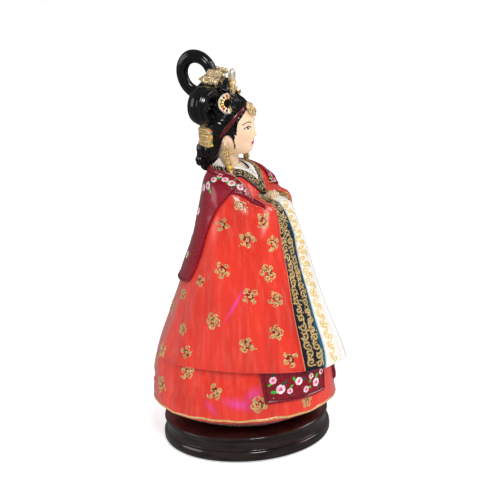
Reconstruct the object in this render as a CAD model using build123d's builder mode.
from build123d import *
import os

# A court-dress souvenir figurine on a round plinth. Millimetres, +Z up.
# The origin is the centre of the resting face, and the figure faces -Y, so its right side is at -X.

# ---------------------------------------------------------------- driving dimensions
PLINTH_R = 37.5  # widest radius, at the bottom flange
PLINTH_RIM_R = 36.8  # at the bead round the top
PLINTH_TOP = 11.5
PLINTH_BOTTOM = 0.4  # the felt stands this much proud of the wood
FLANGE_TOP = 5.0
BAND_R = 35.9  # the plinth's side, between flange and bead
BEAD_BOTTOM = 9.6
FOOT_IN = 0.9  # how far the flange's curve runs in at the foot, then at its top
FLANGE_IN = 0.6
STEP_UP = 0.4
BAND_HOLLOW = 0.25  # how far the side dips in, at a point this much above its middle
HOLLOW_UP = 0.2
BEAD_IN = 0.8
FELT_R = 33.0
FELT_T = 1.2

SCREW_R = 1.5
SCREW_CLEAR_R = 1.8
SCREW_HEAD_R = 3.0
SCREW_HEAD_T = 2.0
SCREW_HEAD_GAP = 0.1  # from the felt up to the head
SCREW_HEAD_PLAY = 0.3
SCREW_NECK_PLAY = 0.2
SCREW_POINT_H = 2.0
SCREW_POINT_R = 0.3
SCREW_TOP = 26.0
SCREW_XS = (-12.0, 12.0)

WAIST_Z = 92.0
WAIST_PEG_R = 5.0
WAIST_PEG_H = 6.0
NECK_R = 4.3
NECK_PEG_R = 2.4
NECK_PEG_H = 7.0

# Horizontal ovals of the figure: height, half width, half depth, centre y
SKIRT = [
    (PLINTH_TOP, 23.5, 26.0, 0.0),
    (15.5, 31.0, 34.5, 0.0),
    (19.6, 36.4, 41.4, 0.2),
    (24.0, 36.0, 41.0, 0.1),
    (42.0, 31.6, 37.5, -2.2),
    (66.0, 26.0, 28.0, -4.0),
    (WAIST_Z, 17.5, 15.0, -4.5),
]
TORSO = [
    (WAIST_Z, 17.5, 15.0, -4.5),
    (107.0, 15.5, 12.5, -3.5),
    (115.0, 16.0, 10.4, -2.8),
    (120.0, 14.0, 8.8, -1.6),
    (123.2, 9.0, 6.6, -0.4),
    (125.6, 5.6, 5.4, 0.4),
]
ROBE = [
    (32.0, 35.0, 44.6, -3.8),
    (42.0, 33.8, 42.2, -4.1),
    (60.0, 32.0, 35.0, -4.6),
    (80.0, 29.4, 28.0, -5.3),
    (96.0, 26.2, 22.0, -5.9),
    (107.0, 23.4, 19.2, -6.2),
    (115.0, 20.8, 15.0, -4.2),
    (120.0, 17.6, 11.9, -2.2),
    (123.2, 11.6, 8.8, -0.6),
    (125.6, 7.0, 6.6, 0.4),
]
NECK_Y = 0.4

LEDGE_Z = 42.2  # the sleeves' lower edge at the sides
LEDGE_ARC_R = 262.0  # it droops towards the front and the back along this arc
LEDGE_Y = -3.7
LEDGE_REACH = 60.0
LEDGE_FLOOR_Z = 20.0  # below the lowest of the robe

# Where orange, navy and white meet on the sleeves: distance from the middle plane, low down and at the hands
BAND_LOW_Z = 30.0
BAND_HIGH_Z = 111.5
NAVY_OUT = (22.4, 9.6)
NAVY_IN = (13.2, 3.2)
HANSAM_IN = (0.1, 0.1)

CUFFS_C = (0.0, -22.0, 111.0)  # the gathered cloth over the joined hands
CUFFS_R = (4.6, 3.8, 3.4)

SHAWL_T = 1.3
COLLAR_T = 0.9
TAIL_T = 1.0
TAIL_LOW_Z = 26.0
TAIL_HIGH_Z = 48.0  # tucked this high under the sleeves
TAIL_OUT_X = 30.0
TAIL_IN_X = 5.4

HEAD_C = (0.0, -1.8, 142.6)
HEAD_R = (9.4, 10.4, 12.0)
CAP_C = (0.0, 0.2, 145.6)
CAP_R = (11.2, 11.6, 12.2)
FACE_C = (0.0, -14.0, 135.5)  # the face opening of the hair
FACE_R = (12.0, 9.8, 15.4)
RIBBON_T = 0.5
RIBBON_W = 2.2

# Head, hair and ornaments: a centre is (x, y, z), and a pair's is given for the figure's left side.
NOSE_C = (0, -11.8, 140.0)
NOSE_R = (1.4, 1.7, 2.6)
EAR_C = (9.4, -2.6, 136.8)
EAR_R = (1.3, 2.1, 3.4)
RIBBON_POINT = (0, -6.8, 147.0)
RIBBON_NORMAL = (0, 0.789, 0.615)
RIBBON_REACH = 60.0
COIL_C = (9.5, 5.0, 153.5)
COIL_AXIS = (0.25, -0.968, 0.0)
COIL_SIZE = (5.3, 3.2, 4.2)  # the ring's radius, then half the roll's thickness across and along the axis
UPPER_ROLL_C = (0, 6.6, 158.4)
UPPER_ROLL_R = (7.4, 5.6, 4.6)
LOOP_C = (0, 12.2, 164.6)
LOOP_AXIS = (1, 0, 0)
LOOP_SIZE = (8.0, 2.3, 2.8)
LOOP_STRETCH = (1.0, 0.92, 1.1)
LOOP_LEAN = -18.0
BUN_C = (0, 9.4, 129.6)
BUN_R = 5.8
KNOT_C = (3.6, 8.6, 132.4)
KNOT_R = 4.4
BUN_FRONT_Y = 5.2  # the bun is flat where it meets the neck
BUN_OVER_COLLAR = (9.7, 126.7)  # (y, z) of the step that clears the collar stand
ROOM_HALF = 20.0
ROOM_Z = (110.0, 150.0)

FOREHEAD_C = (0, -10.2, 150.2)
FOREHEAD_OUT = (0, -0.86, 0.5)
FOREHEAD_PETALS = (1.7, 2.2, 6, 2.4)  # petal radius, spread, count, thickness
HAIRPIN_Y = 1.6  # how far in front of the middle plane its back face lies
HAIRPIN_T = 2.2
HAIRPIN_SIDE = [(0, 155.5), (2.6, 158.8), (2.2, 162.4), (1.6, 165.6), (0, 167.2)]  # (half width, z)
BLOOM_C = (2.2, 4.4, 164.0)
BLOOM_OUT = (1, -0.25, 0.2)
BLOOM_PETALS = (1.8, 2.5, 5, 2.2)
COMB_C = (6.4, -4.6, 154.4)
COMB_OUT = (1, -0.35, 0.25)
COMB_R = 4.4
COMB_BITE_R = 2.6
COMB_BITE_OFF = 2.2
COMB_T = 1.4
NAPE_C = (6.6, 7.2, 139.2)
NAPE_OUT = (1, 0.75, 0.1)
NAPE_SIZE = (9.0, 7.0)
NAPE_CORNER_R = 1.6
NAPE_T = 4.0
NAPE_ROUND = 0.7
EARRING_TOP = ((9.7, -3.0, 133.0), (1.1, 1.3, 1.6))  # centre, radii
EARRING_DROP = ((9.9, -3.8, 128.4), (1.5, 1.7, 3.8))

CLEAR = 100.0  # half the size of a block that reaches past the whole figure

# ---------------------------------------------------------------- helpers


def oval_loft(ovals):
    """A closed body through horizontal ovals."""
    with BuildPart() as body:
        for z, half_width, half_depth, centre_y in ovals:
            with BuildSketch(Plane.XY.offset(z)):
                with Locations((0, centre_y)):
                    Ellipse(half_width, half_depth)
        loft(ruled=True)
    return body.part


def grown(ovals, by):
    """The same ovals, larger all round."""
    return [(z, a + by, b + by, y) for z, a, b, y in ovals]


def ellipsoid(centre, radii):
    """An ellipsoid from its centre and three radii."""
    with BuildPart() as ball:
        Sphere(1.0)
        scale(by=radii)
    return Pos(*centre) * ball.part


def ring(centre, axis, major, radial, axial):
    """A closed roll of hair: an oval section turned about an axis."""
    across = Vector(*axis).cross(Vector(0, 0, 1))
    with BuildPart() as roll:
        with BuildSketch(Plane(origin=centre, x_dir=axis, z_dir=across)):
            with Locations((0, major)):
                Ellipse(axial, radial)
        revolve(axis=Axis(centre, axis))
    return roll.part


def to_side(side, point):
    """A point or direction given for the figure's left side, put on the left (1) or the right (-1)."""
    return (side * point[0], point[1], point[2])


def room_behind(y, top):
    """Everything in front of y and under top, to be kept clear of the bun."""
    floor = ROOM_Z[0]
    outline = [(-ROOM_HALF, floor), (y, floor), (y, top), (-ROOM_HALF, top)]
    return side_block(outline, -ROOM_HALF, ROOM_HALF)


def front_outline(corners, depth=CLEAR):
    """A block in front of the middle, drawn as (x, z) corners seen from the front."""
    with BuildPart() as block:
        with BuildSketch(Plane.XZ):
            with BuildLine():
                Polyline(*corners, close=True)
            make_face()
        extrude(amount=depth)
    return block.part


def front_strip(side, outer, inner):
    """A slanting strip seen from the front, between an outer and an inner edge."""
    return front_outline(
        [
            (side * outer[0], BAND_LOW_Z),
            (side * outer[1], BAND_HIGH_Z),
            (side * inner[1], BAND_HIGH_Z),
            (side * inner[0], BAND_LOW_Z),
        ]
    )


def side_block(corners, x_from, x_to):
    """A block drawn as (y, z) corners seen from the side, between two x values."""
    with BuildPart() as block:
        with BuildSketch(Plane.YZ.offset(x_from)):
            with BuildLine():
                Polyline(*corners, close=True)
            make_face()
        extrude(amount=x_to - x_from)
    return block.part


def half_space(side):
    """Everything on the right (-1) or the left (+1) of the middle plane."""
    with BuildPart() as half:
        with Locations((side * CLEAR, 0, CLEAR)):
            Box(2 * CLEAR, 3 * CLEAR, 3 * CLEAR)
    return half.part


def piece(start, keep=(), less=()):
    """A solid, cut down to what it shares with each of keep, less each of less."""
    with BuildPart() as made:
        add(start)
        for other in keep:
            add(other, mode=Mode.INTERSECT)
        for other in less:
            add(other, mode=Mode.SUBTRACT)
    return made.part


def save(part, name):
    """Labels a finished piece and writes it."""
    part.label = name
    export_step(part, f"parts/{name}.step")


def named(side, name):
    return ("right_" if side < 0 else "left_") + name


os.makedirs("parts", exist_ok=True)

# ---------------------------------------------------------------- base

with BuildPart() as felt_pad:
    with BuildSketch(Plane.XY):
        Circle(FELT_R)
    extrude(amount=FELT_T)
felt_pad.part.label = "felt_pad"
export_step(felt_pad.part, "parts/felt_pad.step")

with BuildPart() as plinth:
    with BuildSketch(Plane.XZ):
        with BuildLine():
            foot = Line((0, PLINTH_BOTTOM), (PLINTH_R - FOOT_IN, PLINTH_BOTTOM))
            flange = ThreePointArc(
                foot @ 1, (PLINTH_R, (PLINTH_BOTTOM + FLANGE_TOP) / 2), (PLINTH_R - FLANGE_IN, FLANGE_TOP)
            )
            step = Line(flange @ 1, (BAND_R, FLANGE_TOP + STEP_UP))
            band_middle = (FLANGE_TOP + BEAD_BOTTOM) / 2 + HOLLOW_UP
            band = ThreePointArc(step @ 1, (BAND_R - BAND_HOLLOW, band_middle), (BAND_R, BEAD_BOTTOM))
            bead_middle = (BEAD_BOTTOM + PLINTH_TOP) / 2
            bead = ThreePointArc(band @ 1, (PLINTH_RIM_R, bead_middle), (PLINTH_RIM_R - BEAD_IN, PLINTH_TOP))
            top = Line(bead @ 1, (0, PLINTH_TOP))
            Line(top @ 1, foot @ 0)
        make_face()
    revolve(axis=Axis.Z)
    with BuildSketch(Plane.XY):
        Circle(FELT_R)
    extrude(amount=FELT_T, mode=Mode.SUBTRACT)
    with BuildSketch(Plane.XY):
        with Locations(*[(x, 0) for x in SCREW_XS]):
            Circle(SCREW_CLEAR_R)
    extrude(amount=PLINTH_TOP, mode=Mode.SUBTRACT)
    for x in SCREW_XS:
        with BuildSketch(Plane.XY.offset(FELT_T)):
            with Locations((x, 0)):
                Circle(SCREW_HEAD_R)
        with BuildSketch(Plane.XY.offset(FELT_T + SCREW_HEAD_T)):
            with Locations((x, 0)):
                Circle(SCREW_CLEAR_R)
        loft(mode=Mode.SUBTRACT)
plinth.part.label = "plinth"
export_step(plinth.part, "parts/plinth.step")

head_low = FELT_T + SCREW_HEAD_GAP
with BuildPart() as fixing_screws:
    for x in SCREW_XS:
        with BuildSketch(Plane.XZ):
            with BuildLine():
                Polyline(
                    (x, head_low),
                    (x + SCREW_HEAD_R - SCREW_HEAD_PLAY, head_low),
                    (x + SCREW_R, FELT_T + SCREW_HEAD_T - SCREW_NECK_PLAY),
                    (x + SCREW_R, SCREW_TOP - SCREW_POINT_H),
                    (x + SCREW_POINT_R, SCREW_TOP),
                    (x, SCREW_TOP),
                    close=True,
                )
            make_face()
        revolve(axis=Axis((x, 0, 0), (0, 0, 1)))
fixing_screws.part.label = "fixing_screws"
export_step(fixing_screws.part, "parts/fixing_screws.step")

# ---------------------------------------------------------------- skirt and torso

skirt_body = oval_loft(SKIRT)
torso_body = oval_loft(TORSO)
robe_body = oval_loft(ROBE)
cuffs_body = ellipsoid(CUFFS_C, CUFFS_R)

with BuildPart() as skirt:
    add(skirt_body)
    with BuildSketch(Plane.XY.offset(PLINTH_TOP)):
        with Locations(*[(x, 0) for x in SCREW_XS]):
            Circle(SCREW_R)
    extrude(amount=SCREW_TOP - PLINTH_TOP, mode=Mode.SUBTRACT)
    with BuildSketch(Plane.XY.offset(WAIST_Z)):
        with Locations((0, TORSO[0][3])):
            Circle(WAIST_PEG_R)
    extrude(amount=WAIST_PEG_H)
skirt.part.label = "skirt"
export_step(skirt.part, "parts/skirt.step")

with BuildPart() as torso:
    add(torso_body)
    with BuildSketch(Plane.XY.offset(WAIST_Z)):
        with Locations((0, TORSO[0][3])):
            Circle(WAIST_PEG_R)
    extrude(amount=WAIST_PEG_H, mode=Mode.SUBTRACT)
    with BuildSketch(Plane.XY.offset(TORSO[-1][0])):
        with Locations((0, NECK_Y)):
            Circle(NECK_PEG_R)
    extrude(amount=-NECK_PEG_H, mode=Mode.SUBTRACT)
torso.part.label = "torso"
export_step(torso.part, "parts/torso.step")

# ---------------------------------------------------------------- shawl tails, on the skirt

tail_layer = piece(oval_loft(grown(SKIRT[2:6], TAIL_T)), less=[skirt_body])
tails = {}
for side in (-1, 1):
    outline = front_outline(
        [
            (side * TAIL_OUT_X, TAIL_LOW_Z),
            (side * TAIL_OUT_X, TAIL_HIGH_Z),
            (side * TAIL_IN_X, TAIL_HIGH_Z),
            (side * TAIL_IN_X, TAIL_LOW_Z),
        ]
    )
    tails[side] = piece(tail_layer, keep=[outline])
    save(tails[side], named(side, "shawl_tail"))

# ---------------------------------------------------------------- sleeves with their bands

# The sleeves are a shell round the skirt and torso, cut off below along a shallow arc.
ledge_drop = LEDGE_ARC_R - (LEDGE_ARC_R**2 - LEDGE_REACH**2) ** 0.5
ledge_end_z = LEDGE_Z - ledge_drop
ledge_front = LEDGE_Y - LEDGE_REACH
ledge_back = LEDGE_Y + LEDGE_REACH
with BuildPart() as under_ledge:
    with BuildSketch(Plane.YZ.offset(-LEDGE_REACH)):
        with BuildLine():
            droop = ThreePointArc((ledge_front, ledge_end_z), (LEDGE_Y, LEDGE_Z), (ledge_back, ledge_end_z))
            Polyline(droop @ 1, (ledge_back, LEDGE_FLOOR_Z), (ledge_front, LEDGE_FLOOR_Z), droop @ 0)
        make_face()
    extrude(amount=2 * LEDGE_REACH)

shell = piece(
    robe_body,
    less=[skirt_body, torso_body, under_ledge.part, cuffs_body, tails[-1], tails[1]],
)
for side in (-1, 1):
    half = piece(shell, keep=[half_space(side)])
    navy = front_strip(side, NAVY_OUT, NAVY_IN)
    white = front_strip(side, NAVY_IN, HANSAM_IN)
    save(piece(half, less=[navy, white]), named(side, "sleeve"))
    save(piece(half, keep=[navy]), named(side, "cuff_band"))
    save(piece(half, keep=[white]), named(side, "hansam"))

save(piece(cuffs_body, less=[torso_body]), "joined_cuffs")

# ---------------------------------------------------------------- collar and shawl, on the robe

collar_layer = piece(oval_loft(grown(ROBE[5:], COLLAR_T)), less=[robe_body, cuffs_body])
shawl_layer = piece(oval_loft(grown(ROBE[2:], SHAWL_T)), less=[robe_body, cuffs_body])

# Seen from the front, the collar crosses on the chest as a V with its tip behind the hands.
neck_top = ROBE[-1][0] + 1
TIP_Z = 110.0
OUTER_V = [(-11.0, neck_top), (-2.6, TIP_Z), (2.6, TIP_Z), (11.0, neck_top)]
INNER_V = [(-6.6, neck_top), (0, TIP_Z + 2.6), (6.6, neck_top)]
WHITE_V = [(-4.6, neck_top), (0, TIP_Z + 5.0), (4.6, neck_top)]
outer_v = front_outline(OUTER_V)
inner_v = front_outline(INNER_V)
white_v = front_outline(WHITE_V)

# At the nape both collars run on round the neck as a low stand.
STAND_Z = 122.4
STAND_Y = (-1.0, 30.0)
stand_front, stand_back = STAND_Y
nape_stand = side_block(
    [(stand_front, STAND_Z), (stand_front, neck_top), (stand_back, neck_top), (stand_back, STAND_Z)],
    -ROOM_HALF,
    ROOM_HALF,
)
collar_band_part = piece(
    piece(collar_layer, keep=[outer_v], less=[inner_v]) + piece(collar_layer, keep=[nape_stand])
)
save(collar_band_part, "collar_band")
save(piece(collar_layer, keep=[inner_v], less=[white_v, nape_stand]), "inner_collar")

# Seen from the side, the shawl's lower edge arches up over the arm and falls to a point down the back.
SHAWL_SIDE = [
    (-19.5, 110.5),
    (-14.8, 114.2),
    (-9.2, 116.4),
    (-5.5, 114.3),
    (-0.8, 108.6),
    (3.2, 98.8),
    (6.8, 88.6),
    (11.0, 80.0),
    (16.0, 76.5),
    (32.0, 75.0),
    (32.0, 128.0),
    (-30.0, 128.0),
    (-30.0, 111.5),
]
shawl_outline = side_block(SHAWL_SIDE, -CLEAR, CLEAR)
save(piece(shawl_layer, keep=[shawl_outline], less=[outer_v, collar_band_part]), "shawl")

# ---------------------------------------------------------------- head and hair

with BuildPart() as head:
    add(ellipsoid(HEAD_C, HEAD_R))
    with BuildSketch(Plane.XY.offset(ROBE[-1][0])):
        with Locations((0, NECK_Y)):
            Circle(NECK_R)
    extrude(amount=HEAD_C[2] - ROBE[-1][0])
    with BuildSketch(Plane.XY.offset(ROBE[-1][0] - NECK_PEG_H)):
        with Locations((0, NECK_Y)):
            Circle(NECK_PEG_R)
    extrude(amount=NECK_PEG_H)
    add(ellipsoid(NOSE_C, NOSE_R))
    for side in (-1, 1):
        add(ellipsoid(to_side(side, EAR_C), EAR_R))
head_part = piece(head.part, less=[collar_band_part])
save(head_part, "head")

face_opening = ellipsoid(FACE_C, FACE_R)
cap_ball = ellipsoid(CAP_C, CAP_R)
hair_cap_part = piece(cap_ball, less=[head_part, face_opening])
save(hair_cap_part, "hair_cap")

# The ribbon lies in a plane that drops from the hairline to behind the ears.
ribbon_plane = Plane(origin=RIBBON_POINT, x_dir=(1, 0, 0), z_dir=RIBBON_NORMAL)
with BuildPart() as ribbon_slab:
    with BuildSketch(ribbon_plane.offset(-RIBBON_W / 2)):
        Rectangle(RIBBON_REACH, RIBBON_REACH)
    extrude(amount=RIBBON_W)
ribbon_ball = ellipsoid(CAP_C, tuple(r + RIBBON_T for r in CAP_R))
hair_ribbon_part = piece(
    ribbon_ball, keep=[ribbon_slab.part], less=[cap_ball, head_part, face_opening]
)
save(hair_ribbon_part, "hair_ribbon")

hair = [hair_cap_part, hair_ribbon_part, head_part]
for side in (-1, 1):
    coil = piece(ring(to_side(side, COIL_C), to_side(side, COIL_AXIS), *COIL_SIZE), less=hair)
    save(coil, named(side, "side_coil"))
    hair.append(coil)

upper_roll_part = piece(ellipsoid(UPPER_ROLL_C, UPPER_ROLL_R), less=hair)
save(upper_roll_part, "upper_roll")
hair.append(upper_roll_part)

# The loop is a ring a little taller than wide, leaning back over the roll.
loop_ring = scale(ring((0, 0, 0), LOOP_AXIS, *LOOP_SIZE), by=LOOP_STRETCH)
top_loop_part = piece(Pos(*LOOP_C) * Rot(LOOP_LEAN, 0, 0) * loop_ring, less=hair)
save(top_loop_part, "top_loop")
hair.append(top_loop_part)

# The bun at the nape is three knots run together, flat where it meets the neck and the collar stand.
with BuildPart() as nape_bun:
    with Locations(BUN_C):
        Sphere(BUN_R)
    with Locations(to_side(-1, KNOT_C), KNOT_C):
        Sphere(KNOT_R)
neck_room = room_behind(BUN_FRONT_Y, ROOM_Z[1])
collar_room = room_behind(*BUN_OVER_COLLAR)
nape_bun_part = piece(nape_bun.part, less=[neck_room, collar_room, cap_ball, ellipsoid(HEAD_C, HEAD_R)])
save(nape_bun_part, "nape_bun")
hair.append(nape_bun_part)

# ---------------------------------------------------------------- gold ornaments


def flower(plane, petal_r, spread, count, thick):
    """A flat flower: round petals about a middle."""
    with BuildPart() as bloom:
        with BuildSketch(plane):
            Circle(spread)
            with PolarLocations(spread, count):
                Circle(petal_r)
        extrude(amount=thick)
    return bloom.part


ornaments = list(hair)


def place_ornament(part, name):
    """Trims an ornament against everything already there, and writes it."""
    trimmed = piece(part, less=ornaments)
    save(trimmed, name)
    ornaments.append(trimmed)


forehead_plane = Plane(origin=FOREHEAD_C, x_dir=(1, 0, 0), z_dir=FOREHEAD_OUT)
place_ornament(flower(forehead_plane, *FOREHEAD_PETALS), "forehead_ornament")

with BuildPart() as front_hairpin:
    with BuildSketch(Plane.XZ.offset(HAIRPIN_Y)):
        with BuildLine():
            left_side = [(-half, z) for half, z in HAIRPIN_SIDE]
            for outline in (left_side, HAIRPIN_SIDE):
                ThreePointArc(*outline[:3])
                ThreePointArc(*outline[2:])
        make_face()
    extrude(amount=HAIRPIN_T)
place_ornament(front_hairpin.part, "front_hairpin")

for side in (-1, 1):
    loop_plane = Plane(origin=to_side(side, BLOOM_C), x_dir=(0, 1, 0), z_dir=to_side(side, BLOOM_OUT))
    place_ornament(flower(loop_plane, *BLOOM_PETALS), named(side, "loop_flower"))

    comb_plane = Plane(origin=to_side(side, COMB_C), x_dir=(0, -1, 0), z_dir=to_side(side, COMB_OUT))
    with BuildPart() as comb:
        with BuildSketch(comb_plane):
            Circle(COMB_R)
            with Locations((COMB_BITE_OFF * -side * comb_plane.x_dir.Y, 0)):
                Circle(COMB_BITE_R, mode=Mode.SUBTRACT)
        extrude(amount=COMB_T)
    place_ornament(comb.part, named(side, "comb"))

    nape_plane = Plane(origin=to_side(side, NAPE_C), x_dir=(0, 0, 1), z_dir=to_side(side, NAPE_OUT))
    with BuildPart() as nape_ornament:
        with BuildSketch(nape_plane):
            RectangleRounded(*NAPE_SIZE, NAPE_CORNER_R)
        extrude(amount=NAPE_T)
        fillet(nape_ornament.edges().group_by(Axis(nape_plane.origin, nape_plane.z_dir))[-1], NAPE_ROUND)
    place_ornament(nape_ornament.part, named(side, "nape_ornament"))

    with BuildPart() as earring:
        for centre, radii in (EARRING_TOP, EARRING_DROP):
            add(ellipsoid(to_side(side, centre), radii))
    place_ornament(earring.part, named(side, "earring"))
